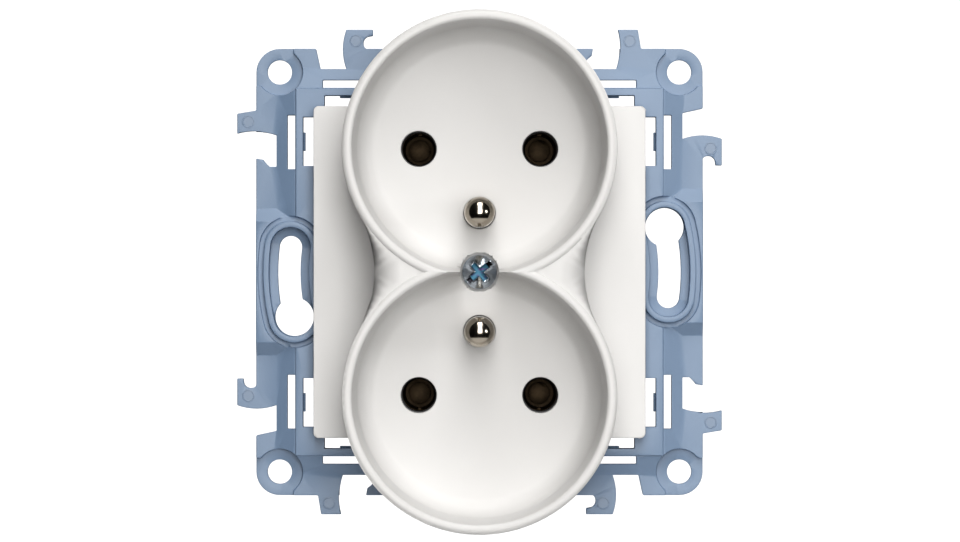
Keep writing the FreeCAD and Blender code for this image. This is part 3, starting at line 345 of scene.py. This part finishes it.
def metal_group():
    """Plated or stamped metal: fine scuffs, cloudy tarnish and an uneven polish."""
    tree, given, out = new_group("Plated Metal", [
        ("Color", COLOUR, (0.7, 0.7, 0.7, 1)), ("Tarnish", COLOUR, (0.4, 0.35, 0.3, 1)),
        ("Tarnish Amount", FLOAT, 0.3), ("Roughness", FLOAT, 0.2), ("Scuffs", FLOAT, 0.1)],
        [("Color", COLOUR), ("Roughness", FLOAT), ("Normal", VECTOR)])
    link = tree.links.new
    where = tree.nodes.new("ShaderNodeTexCoord")
    clouds = add_node(tree, "ShaderNodeTexNoise", Scale=420.0, Detail=5.0, Roughness=0.6)
    link(where.outputs["Object"], clouds.inputs["Vector"])
    ramp = tree.nodes.new("ShaderNodeMapRange")
    ramp.inputs["From Min"].default_value = 0.45
    ramp.inputs["From Max"].default_value = 0.75
    link(clouds.outputs["Fac"], ramp.inputs["Value"])
    amount = math_node(tree, "MULTIPLY", ramp.outputs["Result"], given.outputs["Tarnish Amount"])
    mix = tree.nodes.new("ShaderNodeMix")
    mix.data_type = "RGBA"
    link(amount, mix.inputs["Factor"])
    link(given.outputs["Color"], mix.inputs["A"])
    link(given.outputs["Tarnish"], mix.inputs["B"])
    link(mix.outputs["Result"], out.inputs["Color"])
    stretch = tree.nodes.new("ShaderNodeMapping")
    stretch.inputs["Scale"].default_value = (1.0, 0.12, 1.0)
    link(where.outputs["Object"], stretch.inputs["Vector"])
    marks = add_node(tree, "ShaderNodeTexNoise", Scale=3000.0, Detail=3.0)
    link(stretch.outputs["Vector"], marks.inputs["Vector"])
    drift = math_node(tree, "SUBTRACT", marks.outputs["Fac"], 0.5)
    rough = math_node(tree, "MULTIPLY", drift, given.outputs["Scuffs"])
    link(math_node(tree, "ADD", given.outputs["Roughness"], rough), out.inputs["Roughness"])
    bump = add_node(tree, "ShaderNodeBump", Distance=0.00001)
    link(marks.outputs["Fac"], bump.inputs["Height"])
    link(given.outputs["Scuffs"], bump.inputs["Strength"])
    link(bump.outputs["Normal"], out.inputs["Normal"])


def new_material(name):
    material = bpy.data.materials.new(name)
    material.use_nodes = True
    shader = material.node_tree.nodes["Principled BSDF"]
    return material, material.node_tree, shader


def group_node(tree, name, shader, **values):
    node = tree.nodes.new("ShaderNodeGroup")
    node.node_tree = bpy.data.node_groups[name]
    for label, value in values.items():
        node.inputs[label.replace("_", " ")].default_value = value
    tree.links.new(node.outputs["Color"], shader.inputs["Base Color"])
    tree.links.new(node.outputs["Roughness"], shader.inputs["Roughness"])
    tree.links.new(node.outputs["Normal"], shader.inputs["Normal"])


def moulded_material(name, colour, roughness, grain_depth, grain_scale=4000.0, specular=0.5):
    material, tree, shader = new_material(name)
    shader.inputs["Specular IOR Level"].default_value = specular
    group_node(tree, "Moulded Skin", shader, Color=(*colour, 1), Roughness=roughness,
               Grain_Depth=grain_depth, Grain_Scale=grain_scale)


def metal_material(name, colour, tarnish, amount, roughness, scuffs):
    material, tree, shader = new_material(name)
    shader.inputs["Metallic"].default_value = 1.0
    group_node(tree, "Plated Metal", shader, Color=(*colour, 1), Tarnish=(*tarnish, 1),
               Tarnish_Amount=amount, Roughness=roughness, Scuffs=scuffs)
    return material


def recess_group():
    """Masks the cross and the ends of the slot in a screw head, and gives a cloudy tint; the
    slot-end mask is where painted shade goes.
    """
    tree, given, out = new_group("Recess Film", [
        ("Top", FLOAT, 0.0), ("Reach", FLOAT, 0.0016), ("Depth", FLOAT, 0.0003),
        ("Half Slot", FLOAT, 0.00039), ("Slot Reach", FLOAT, 0.0023)],
        [("Mask", FLOAT), ("Slot", FLOAT), ("Cloud", FLOAT)])
    link = tree.links.new
    where = tree.nodes.new("ShaderNodeTexCoord")
    split = tree.nodes.new("ShaderNodeSeparateXYZ")
    link(where.outputs["Object"], split.inputs["Vector"])
    across = math_node(tree, "MULTIPLY", split.outputs["X"], split.outputs["X"])
    up = math_node(tree, "MULTIPLY", split.outputs["Z"], split.outputs["Z"])
    away = math_node(tree, "SQRT", math_node(tree, "ADD", across, up), 0.0)
    near = math_node(tree, "LESS_THAN", away, given.outputs["Reach"])
    deep = math_node(tree, "SUBTRACT", split.outputs["Y"], given.outputs["Top"])
    share = math_node(tree, "DIVIDE", deep, given.outputs["Depth"])
    share.node.use_clamp = True
    cloud = add_node(tree, "ShaderNodeTexNoise", Scale=1500.0, Detail=2.0)
    link(where.outputs["Object"], cloud.inputs["Vector"])
    link(math_node(tree, "MULTIPLY", share, near), out.inputs["Mask"])
    # Slot mask: the driver slot's stripe outside the cross and below the head's front, where
    # painted shade goes
    level = math_node(tree, "MULTIPLY", split.outputs["Z"], math.cos(math.radians(SLOT_TURN)))
    slant = math_node(tree, "MULTIPLY", split.outputs["X"], math.sin(math.radians(SLOT_TURN)))
    aside = math_node(tree, "ABSOLUTE", math_node(tree, "SUBTRACT", level, slant), 0.0)
    stripe = math_node(tree, "LESS_THAN", aside, given.outputs["Half Slot"])
    inside = math_node(tree, "LESS_THAN", away, given.outputs["Slot Reach"])
    outer = math_node(tree, "SUBTRACT", inside, near)
    link(math_node(tree, "MULTIPLY", math_node(tree, "MULTIPLY", stripe, outer), share),
         out.inputs["Slot"])
    link(cloud.outputs["Fac"], out.inputs["Cloud"])


def mix_colours(tree, factor, first, second):
    mix = tree.nodes.new("ShaderNodeMix")
    mix.data_type = "RGBA"
    tree.links.new(factor, mix.inputs["Factor"])
    for name, value in (("A", first), ("B", second)):
        if isinstance(value, tuple):
            mix.inputs[name].default_value = value
        else:
            tree.links.new(value, mix.inputs[name])
    return mix.outputs["Result"]


def film_material(name, colour, film):
    """Zinc plate whose blue passivation stays thick inside the driver recess, with painted shade,
    near black, at the ends of the driver slot.
    """
    material = metal_material(name, colour, ZINC_TARNISH, 0.35, 0.2, 0.12)
    tree = material.node_tree
    shader = tree.nodes["Principled BSDF"]
    plate = shader.inputs["Base Color"].links[0].from_socket
    recess = tree.nodes.new("ShaderNodeGroup")
    recess.node_tree = bpy.data.node_groups["Recess Film"]
    recess.inputs["Top"].default_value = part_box("cover_screw")[0].y + FILM_TOP
    violet = (film[0] * 3.2, film[1] * 0.45, film[2] * 0.9, 1)
    shade = tree.nodes.new("ShaderNodeMapRange")
    shade.inputs["From Min"].default_value = 0.52
    shade.inputs["From Max"].default_value = 0.66
    tree.links.new(recess.outputs["Cloud"], shade.inputs["Value"])
    tint = mix_colours(tree, shade.outputs["Result"], (*film, 1), violet)
    filmed = mix_colours(tree, recess.outputs["Mask"], plate, tint)
    # the slot's ends are painted near black: painted shade standing in for the deep slot's darkness
    tree.links.new(mix_colours(tree, recess.outputs["Slot"], filmed, SLOT_PAINTED_SHADE),
                   shader.inputs["Base Color"])
    bare = math_node(tree, "MULTIPLY", recess.outputs["Mask"], -FILM_DULLS)
    tree.links.new(math_node(tree, "ADD", bare, 1.0), shader.inputs["Metallic"])
    gloss = math_node(tree, "MULTIPLY", recess.outputs["Mask"], FILM_ROUGHENS)
    tree.links.new(math_node(tree, "ADD", gloss, PLATE_ROUGHNESS), shader.inputs["Roughness"])


# ------------------------------------------------------------------ settings

def colour_setting(label, about, default):
    return bpy.props.FloatVectorProperty(
        name=label, description=about, default=default, subtype="COLOR", size=3, min=0, max=1)


class OutletFinishes(bpy.types.PropertyGroup):
    cover_colour: colour_setting("Cover", "Colour of the white cover", (0.66, 0.657, 0.652))
    bracket_colour: colour_setting("Bracket", "Colour of the bracket", (0.185, 0.258, 0.37))
    base_colour: colour_setting("Base", "Colour of the rear housing", (0.02, 0.021, 0.024))
    carrier_colour: colour_setting("Carrier", "Colour of the contact carrier", (0.035, 0.036, 0.04))
    nickel_colour: colour_setting("Nickel", "Colour of the earth pins", (0.50, 0.455, 0.39))
    zinc_colour: colour_setting("Zinc", "Colour of the plated screws", (0.55, 0.60, 0.66))
    film_colour: colour_setting("Film", "Blue film in the cover screw's recess",
                                (0.02, 0.09, 0.14))
    brass_colour: colour_setting("Brass", "Colour of the stamped contacts", (0.66, 0.47, 0.20))


def length_setting(label, about, millimetres):
    return bpy.props.FloatProperty(
        name=label, description=about, default=millimetres * MM, min=0, unit="LENGTH",
        precision=5)


class OutletSizes(bpy.types.PropertyGroup):
    cover_edge: length_setting("Cover Edge", "Rounding of the cover's edges", 0.16)
    bracket_edge: length_setting("Bracket Edge", "Rounding of the other plastic edges", 0.12)
    slot_width: length_setting("Slot Width", "Driver slot of the cover screw", 0.8)
    slot_depth: length_setting("Slot Depth", "Driver slot, under the head's front", 0.95)
    slot_reach: length_setting("Slot Reach", "Driver slot, out from the screw's axis", 2.35)
    metal_edge: length_setting("Metal Edge", "Rounding of pressed metal edges", 0.07)
    pin_width: length_setting("Pin Width", "Diameter of an earth pin", 4.8)
    pin_neck: length_setting("Pin Neck", "Step from a pin to its neck", 0.5)
    pin_shoulder: length_setting("Pin Shoulder", "From a well's floor to the neck", 0.3)
    well_depth: length_setting("Well Depth", "From the crest to a well's floor", 15.0)
    thread_width: length_setting("Thread Width", "Diameter over the screws' threads", 3.4)
    thread_pitch: length_setting("Thread Pitch", "Travel of a screw for one turn", 0.6)
    screw_head: length_setting("Screw Head", "Height of the screws' heads", 2.0)
    plate_front: length_setting("Plate Front", "Front of the bracket's flat edge", 2.0)
    ejector_width: length_setting("Ejector Width", "Diameter of an ejector mark", 2.0)
    ejector_inset: length_setting("Ejector Inset", "Marks, in from the hooks' ends", 1.75)
    hook_place: length_setting("Hook Marks", "Marks on the hooks, from the middle", 19.5)
    post_place: length_setting("Post Marks", "Marks on the posts, from the middle", 23.7)
    collar_rise: length_setting("Collar Rise", "Collars round the wire holes", 0.35)


class StudioSettings(bpy.types.PropertyGroup):
    camera_distance: bpy.props.FloatProperty(
        name="Camera Distance", description="From the lens to the wall plane", default=1.0,
        min=0.2, unit="LENGTH")
    focal_length: bpy.props.FloatProperty(
        name="Focal Length", description="Of the camera's lens, in millimetres", default=237.4,
        min=20, unit="CAMERA")
    key_power: bpy.props.FloatProperty(
        name="Key Power", description="Shared out between the soft lights", default=8.7, min=0)
    fill_strength: bpy.props.FloatProperty(
        name="Fill", description="Brightness of the surroundings", default=0.012, min=0)


# ------------------------------------------------------------------ operators

class OUTLET_OT_materials(bpy.types.Operator):
    """Builds the shared shader groups and every finish of the module"""
    bl_idname = "outlet.materials"
    bl_label = "Build Finishes"

    def execute(self, context):
        given = context.scene.outlet_finishes
        moulded_group()
        metal_group()
        recess_group()
        moulded_material("glossy_white", given.cover_colour, 0.42, 0.10, specular=0.35)
        moulded_material("bracket_blue", given.bracket_colour, 0.42, 0.35, 2500.0)
        moulded_material("housing_black", given.base_colour, 0.45, 0.5, 2500.0)
        moulded_material("carrier_grey", given.carrier_colour, 0.45, 0.4, 2500.0)
        moulded_material("bracket_mark", [part * MARK_SHADE for part in given.bracket_colour],
                         0.35, 0.2, 2500.0)
        moulded_material("natural_nylon", (0.72, 0.70, 0.62), 0.4, 0.2)
        metal_material("bright_nickel", given.nickel_colour, (0.30, 0.24, 0.17), 0.25, 0.16, 0.08)
        metal_material("blue_zinc", given.zinc_colour, ZINC_TARNISH, 0.35, 0.22, 0.12)
        metal_material("stamped_brass", given.brass_colour, (0.30, 0.19, 0.08), 0.5, 0.3, 0.15)
        # near-black brass, with a near-black tarnish, for the contacts and rivets: painted shade
        # for the dark inside of the pin holes, not the brass's own colour
        metal_material("contact_brass_painted_shade", (0.075, 0.055, 0.035), (0.02, 0.015, 0.01), 0.8, 0.5, 0.2)
        film_material("blue_film_zinc", given.zinc_colour, given.film_colour)
        metal_material("spring_steel", (0.30, 0.31, 0.33), (0.12, 0.10, 0.08), 0.4, 0.32, 0.2)
        return {"FINISHED"}


SLOT_FINISH = {
    "cover": "glossy_white",
    "bracket": "bracket_blue",
    "base": "housing_black",
    "carrier": "carrier_grey",
    "nickel": "bright_nickel",
    "zinc": "blue_zinc",
    "brass": "stamped_brass",
    "spring_steel": "spring_steel",
    "nylon": "natural_nylon",
}


class OUTLET_OT_dress_frame(bpy.types.Operator):
    """Gives every carried-over piece the finish of its material slot"""
    bl_idname = "outlet.dress_frame"
    bl_label = "Dress the Mechanism"

    def execute(self, context):
        for row in frame["record"]["subparts"]:
            node = frame["nodes"][row["node"]]
            paint(node, bpy.data.materials[SLOT_FINISH[row["material_slot"]]])
        return {"FINISHED"}


def under_the_lips():
    """A test for an edge of the cover that is not in a lip or in the thin web at the screw."""
    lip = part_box("socket_cover")[0].y + LIP_TALL

    def wanted(edge):
        return all(corner.co.y > lip
                   and (abs(corner.co.x) > WEB_WIDE or abs(corner.co.z) > WEB_TALL)
                   for corner in edge.verts)

    return wanted


class OUTLET_OT_mouldings(bpy.types.Operator):
    """Rounds the edges of the cover, the bracket, the rear housing and the carrier"""
    bl_idname = "outlet.mouldings"
    bl_label = "Mould the Plastic Pieces"

    def execute(self, context):
        edge = context.scene.outlet_sizes
        rounded_copy("socket_cover", "cover_moulding", edge.cover_edge,
                     wanted=under_the_lips(), degrees=COVER_TURN)
        rounded_copy("mounting_bracket", "bracket_moulding", edge.bracket_edge)
        rounded_copy("mechanism_base", "base_moulding", edge.bracket_edge)
        rounded_copy("contact_carrier", "carrier_moulding", edge.bracket_edge)
        return {"FINISHED"}


class OUTLET_OT_stampings(bpy.types.Operator):
    """Rounds the pressed edges of the contacts, bars, springs, plates and screws"""
    bl_idname = "outlet.stampings"
    bl_label = "Press the Metal Pieces"

    def execute(self, context):
        edge = context.scene.outlet_sizes
        for row in frame["record"]["subparts"]:
            node, slot = row["node"], row["material_slot"]
            if node.startswith(("live_contact", "neutral_contact")):
                # the contacts take the near-black brass: painted shade inside the pin holes
                rounded_copy(node, node + "_pressed", edge.metal_edge, "contact_brass_painted_shade")
            elif node == "cover_screw":
                rounded_copy(node, node + "_cold_formed", edge.metal_edge, "blue_film_zinc")
            elif node == "contact_rivets":
                rounded_copy(node, node + "_pressed", edge.metal_edge, "contact_brass_painted_shade")
            elif slot in ("brass", "zinc", "spring_steel"):
                rounded_copy(node, node + "_pressed", edge.metal_edge)
        return {"FINISHED"}


class OUTLET_OT_earth_pins(bpy.types.Operator):
    """Turns the two earth pins, each with a round tip, a neck, a collar and a riveted tail"""
    bl_idname = "outlet.earth_pins"
    bl_label = "Turn the Earth Pins"

    def execute(self, context):
        given = context.scene.outlet_sizes
        for level in ("upper", "lower"):
            node = "earth_pin_" + level
            low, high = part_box(node)
            place = ((low.x + high.x) / 2, 0, (low.z + high.z) / 2)
            collar = (high.x - low.x) / 2
            radius = given.pin_width / 2
            tip, tail = -low.y, -high.y
            dome = [(tip - radius * (1 - math.sin(turn)), radius * math.cos(turn))
                    for turn in (math.radians(90 * step / PIN_RINGS) for step in range(PIN_RINGS))]
            neck = radius - given.pin_neck
            shoulder = -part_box("socket_cover")[0].y - given.well_depth + given.pin_shoulder
            plate = -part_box("contact_carrier")[1].y
            strap = -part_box("earth_strap")[0].y
            profile = [(tail, radius - given.pin_neck * TAIL_STEP),
                       (tail + given.pin_neck, neck * RIVET_SWELL), (strap, neck * TAIL_WIDTH),
                       (strap, collar - BREAK), (strap + BREAK, collar),
                       (plate - BREAK, collar), (plate, collar - BREAK), (plate, neck),
                       (shoulder, neck), (shoulder, radius - BREAK), (shoulder + BREAK, radius)]
            profile += dome
            profile.append((tip - POLE * POLE / (2 * radius), POLE))
            piece = turned_piece(node + "_turned", place, profile, sides=PIN_SIDES)
            smooth(piece)
            finish_piece(piece, node)
            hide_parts(node)
        return {"FINISHED"}


class OUTLET_OT_threads(bpy.types.Operator):
    """Winds a rolled thread on the cover screw and on the three terminal screws"""
    bl_idname = "outlet.threads"
    bl_label = "Roll the Threads"

    def execute(self, context):
        given = context.scene.outlet_sizes
        for node in ("cover_screw", "terminal_screw_live", "terminal_screw_neutral",
                     "terminal_screw_earth"):
            low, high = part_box(node)
            middle = (low + high) / 2
            spans = high - low
            along = max(range(3), key=lambda number: spans[number])
            inward = 1 if node == "cover_screw" or low[along] < -given.thread_width else -1
            end = high[along] if inward > 0 else low[along]
            self.wind(node, middle, along, inward, end, spans[along], given)
        return {"FINISHED"}

    def wind(self, node, middle, along, inward, end, length, given):
        """One helical ridge that sinks in the shank at both of its ends."""
        turns = int((length - given.screw_head - 2 * given.thread_pitch) / given.thread_pitch)
        radius = given.thread_width / 2
        select_only(None)
        bpy.ops.mesh.primitive_circle_add(vertices=6, radius=given.thread_pitch * RIDGE_HALF,
                                          rotation=(math.radians(90), 0, 0))
        piece = bpy.context.object
        piece.name = node + "_thread"
        piece.scale = (RIDGE_RISE, 1, 1)
        settle(piece)
        to_edit(piece)
        bpy.ops.transform.translate(value=(radius - given.thread_pitch * RIDGE_SINK, 0, 0))
        to_object()
        screw = piece.modifiers.new("helix", "SCREW")
        screw.axis = "Z"
        screw.angle = math.radians(360 * turns)
        screw.screw_offset = given.thread_pitch * turns
        screw.steps = screw.render_steps = THREAD_STEPS * turns
        select_only(piece)
        bpy.ops.object.modifier_apply(modifier=screw.name)
        to_edit(piece)
        bpy.ops.mesh.select_all(action="DESELECT")
        bpy.ops.mesh.select_mode(type="EDGE")
        bpy.ops.mesh.select_non_manifold()
        bpy.ops.mesh.fill_holes(sides=8)
        bpy.ops.mesh.select_all(action="SELECT")
        bpy.ops.mesh.normals_make_consistent(inside=False)
        to_object()
        direction = Vector([inward if number == along else 0 for number in range(3)])
        start = Vector(middle)
        start[along] = end - inward * (given.thread_pitch * (turns + THREAD_START))
        piece.rotation_mode = "QUATERNION"
        piece.rotation_quaternion = direction.to_track_quat("Z", "Y")
        piece.location = start
        settle(piece)
        smooth(piece, 40)
        finish_piece(piece, node)


# An ejector mark: steps of (rise over the plate in edge breaks, share of its half width).
MARK_STEPS = ((-1, 1), (0.35, 1), (0.5, 0.93), (0.5, 0.84), (0.1, 0.78), (0.1, 0.1))
COLLAR_SQUEEZE = 0.6           # a wire collar's rounding, flattened against the plane of the back


class OUTLET_OT_mould_marks(bpy.types.Operator):
    """Adds the ejector marks of the bracket and the collars of the wire holes"""
    bl_idname = "outlet.mould_marks"
    bl_label = "Mark the Mouldings"

    def execute(self, context):
        given = context.scene.outlet_sizes
        low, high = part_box("mounting_bracket")
        reach = high.x - given.ejector_inset
        front = given.plate_front
        marks = ((-given.hook_place, reach), (given.post_place, reach))
        for number in range(4):
            turn = math.radians(90 * number)
            for name, (across, up) in zip(("hook", "post"), marks):
                place = (across * math.cos(turn) - up * math.sin(turn), 0,
                         across * math.sin(turn) + up * math.cos(turn))
                width = given.ejector_width / 2
                profile = [(front + rise * BREAK, width * share) for rise, share in MARK_STEPS]
                piece = turned_piece("%s_ejector_mark_%d" % (name, number + 1), place, profile, 40)
                smooth(piece)
                finish_piece(piece, "mounting_bracket", "bracket_mark")
        back = -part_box("mechanism_base")[1].y
        for mount in frame["record"]["mounts"]:
            if not mount["name"].startswith("wire_"):
                continue
            bore = mount["dims"]["r_mm"] * MM
            place = (mount["pos_m"][0], 0, mount["pos_m"][2])
            self.collar(mount["name"] + "_collar", place, back, bore, given.collar_rise)
        return {"FINISHED"}

    def collar(self, label, place, back, bore, rise):
        """A rounded ring that stands out of the housing's back."""
        select_only(None)
        bpy.ops.mesh.primitive_torus_add(
            major_segments=56, minor_segments=14, major_radius=bore + rise, minor_radius=rise,
            rotation=(math.radians(90), 0, 0), location=(place[0], -back, place[2]))
        ring = bpy.context.object
        ring.name = label
        ring.scale = (1, 1, COLLAR_SQUEEZE)
        settle(ring)
        smooth(ring, 60)
        finish_piece(ring, "mechanism_base")


FLOOR_PLACE = (0, 0.12, -0.26)
FLOOR_RADIUS = 0.40
CAMERA_ACROSS = 0.08 * MM
CAMERA_UP = 0.16 * MM
# Each softbox: name, place, width, share of the key power, colour.
SOFTBOXES = (
    ("front_softbox", (0.08, -1.08, 0.10), 0.56, 0.72, (1.0, 0.985, 0.965)),
    ("upper_softbox", (0.08, -0.90, 0.60), 0.52, 0.34, (1.0, 0.985, 0.965)),
    ("top_softbox", (0.06, -0.52, 0.93), 0.52, 0.55, (1.0, 0.985, 0.965)),
    ("right_softbox", (0.95, -0.75, 0.10), 0.30, 0.17, (1.0, 1.0, 1.0)),
    ("back_softbox", (-0.50, 0.90, 0.60), 0.60, 0.50, (1.0, 1.0, 1.0)),
)


class OUTLET_OT_stage(bpy.types.Operator):
    """Adds the pale floor, the soft lights, the surroundings and the camera"""
    bl_idname = "outlet.stage"
    bl_label = "Set the Stage"

    def execute(self, context):
        given = context.scene.outlet_studio
        select_only(None)
        bpy.ops.mesh.primitive_circle_add(vertices=96, radius=FLOOR_RADIUS, fill_type="NGON",
                                          location=FLOOR_PLACE)
        floor = context.object
        floor.name = "studio_floor"
        material, _, shader = new_material("pale_floor")
        shader.inputs["Base Color"].default_value = (0.86, 0.86, 0.86, 1)
        shader.inputs["Roughness"].default_value = 0.7
        paint(floor, material)
        floor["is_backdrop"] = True
        for name, place, span, share, warmth in SOFTBOXES:
            bpy.ops.object.light_add(type="AREA", location=place)
            lamp = context.object
            lamp.name = name
            lamp.data.size = span
            lamp.data.energy = given.key_power * share
            lamp.data.color = warmth
            lamp.rotation_euler = (-Vector(place)).to_track_quat("-Z", "Y").to_euler()
        self.surroundings(context, given.fill_strength)
        bpy.ops.object.camera_add(location=(CAMERA_ACROSS, -given.camera_distance, CAMERA_UP))
        camera = context.object
        camera.name = "front_camera"
        camera.rotation_euler = (math.radians(90), 0, 0)
        camera.data.lens = given.focal_length
        camera.data.sensor_width = 36
        camera.data.clip_start = 0.01
        context.scene.camera = camera
        context.scene.view_settings.view_transform = "Standard"
        context.scene.view_settings.look = "Medium High Contrast"
        return {"FINISHED"}

    def surroundings(self, context, strength):
        """White to the eye; softer and brighter above for what lights the module."""
        world = bpy.data.worlds.new("studio")
        context.scene.world = world
        world.use_nodes = True
        tree = world.node_tree
        tree.nodes.clear()
        where = tree.nodes.new("ShaderNodeTexCoord")
        split = tree.nodes.new("ShaderNodeSeparateXYZ")
        tree.links.new(where.outputs["Generated"], split.inputs["Vector"])
        height = tree.nodes.new("ShaderNodeMapRange")
        height.inputs["From Min"].default_value = -0.5
        height.inputs["From Max"].default_value = 0.9
        height.inputs["To Min"].default_value = strength * 0.45
        height.inputs["To Max"].default_value = strength * 1.4
        tree.links.new(split.outputs["Z"], height.inputs["Value"])
        room = tree.nodes.new("ShaderNodeMapRange")
        room.inputs["From Min"].default_value = -0.97
        room.inputs["From Max"].default_value = -0.55
        room.inputs["To Min"].default_value = 0.06
        room.inputs["To Max"].default_value = 1.0
        tree.links.new(split.outputs["Y"], room.inputs["Value"])
        level = math_node(tree, "MULTIPLY", height.outputs["Result"], room.outputs["Result"])
        soft = tree.nodes.new("ShaderNodeBackground")
        soft.inputs["Color"].default_value = (1.0, 0.96, 0.91, 1)
        tree.links.new(level, soft.inputs["Strength"])
        plain = add_node(tree, "ShaderNodeBackground", Color=(1, 1, 1, 1), Strength=1.0)
        ray = tree.nodes.new("ShaderNodeLightPath")
        mix = tree.nodes.new("ShaderNodeMixShader")
        tree.links.new(ray.outputs["Is Camera Ray"], mix.inputs["Fac"])
        tree.links.new(soft.outputs[0], mix.inputs[1])
        tree.links.new(plain.outputs[0], mix.inputs[2])
        out = tree.nodes.new("ShaderNodeOutputWorld")
        tree.links.new(mix.outputs[0], out.inputs["Surface"])


# ------------------------------------------------------------------ panel and registration

STEPS = (OUTLET_OT_materials, OUTLET_OT_dress_frame, OUTLET_OT_mouldings, OUTLET_OT_stampings,
         OUTLET_OT_earth_pins, OUTLET_OT_threads, OUTLET_OT_mould_marks, OUTLET_OT_stage)
GROUPS = (("outlet_sizes", OutletSizes), ("outlet_finishes", OutletFinishes),
          ("outlet_studio", StudioSettings))


class OUTLET_PT_panel(bpy.types.Panel):
    """Lists the module's settings and its building steps"""
    bl_idname = "OUTLET_PT_panel"
    bl_label = "Socket Outlet"
    bl_space_type = "VIEW_3D"
    bl_region_type = "UI"
    bl_category = "Outlet"

    def draw(self, context):
        for name, group in GROUPS:
            settings = getattr(context.scene, name)
            for label in group.__annotations__:
                self.layout.prop(settings, label)
        for step in STEPS:
            self.layout.operator(step.bl_idname)


def register():
    for name, group in GROUPS:
        bpy.utils.register_class(group)
        setattr(bpy.types.Scene, name, bpy.props.PointerProperty(type=group))
    for part in STEPS + (OUTLET_PT_panel,):
        bpy.utils.register_class(part)


def unregister():
    for part in reversed(STEPS + (OUTLET_PT_panel,)):
        bpy.utils.unregister_class(part)
    for name, group in GROUPS:
        delattr(bpy.types.Scene, name)
        bpy.utils.unregister_class(group)


def main():
    register()
    for step in STEPS:
        area, name = step.bl_idname.split(".")
        getattr(getattr(bpy.ops, area), name)()
    boxes = {"cad": CAD_BOX, "visual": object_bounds()}
    plain = {name: [list(corner) for corner in box] for name, box in boxes.items()}


if __name__ == "__main__":
    main()
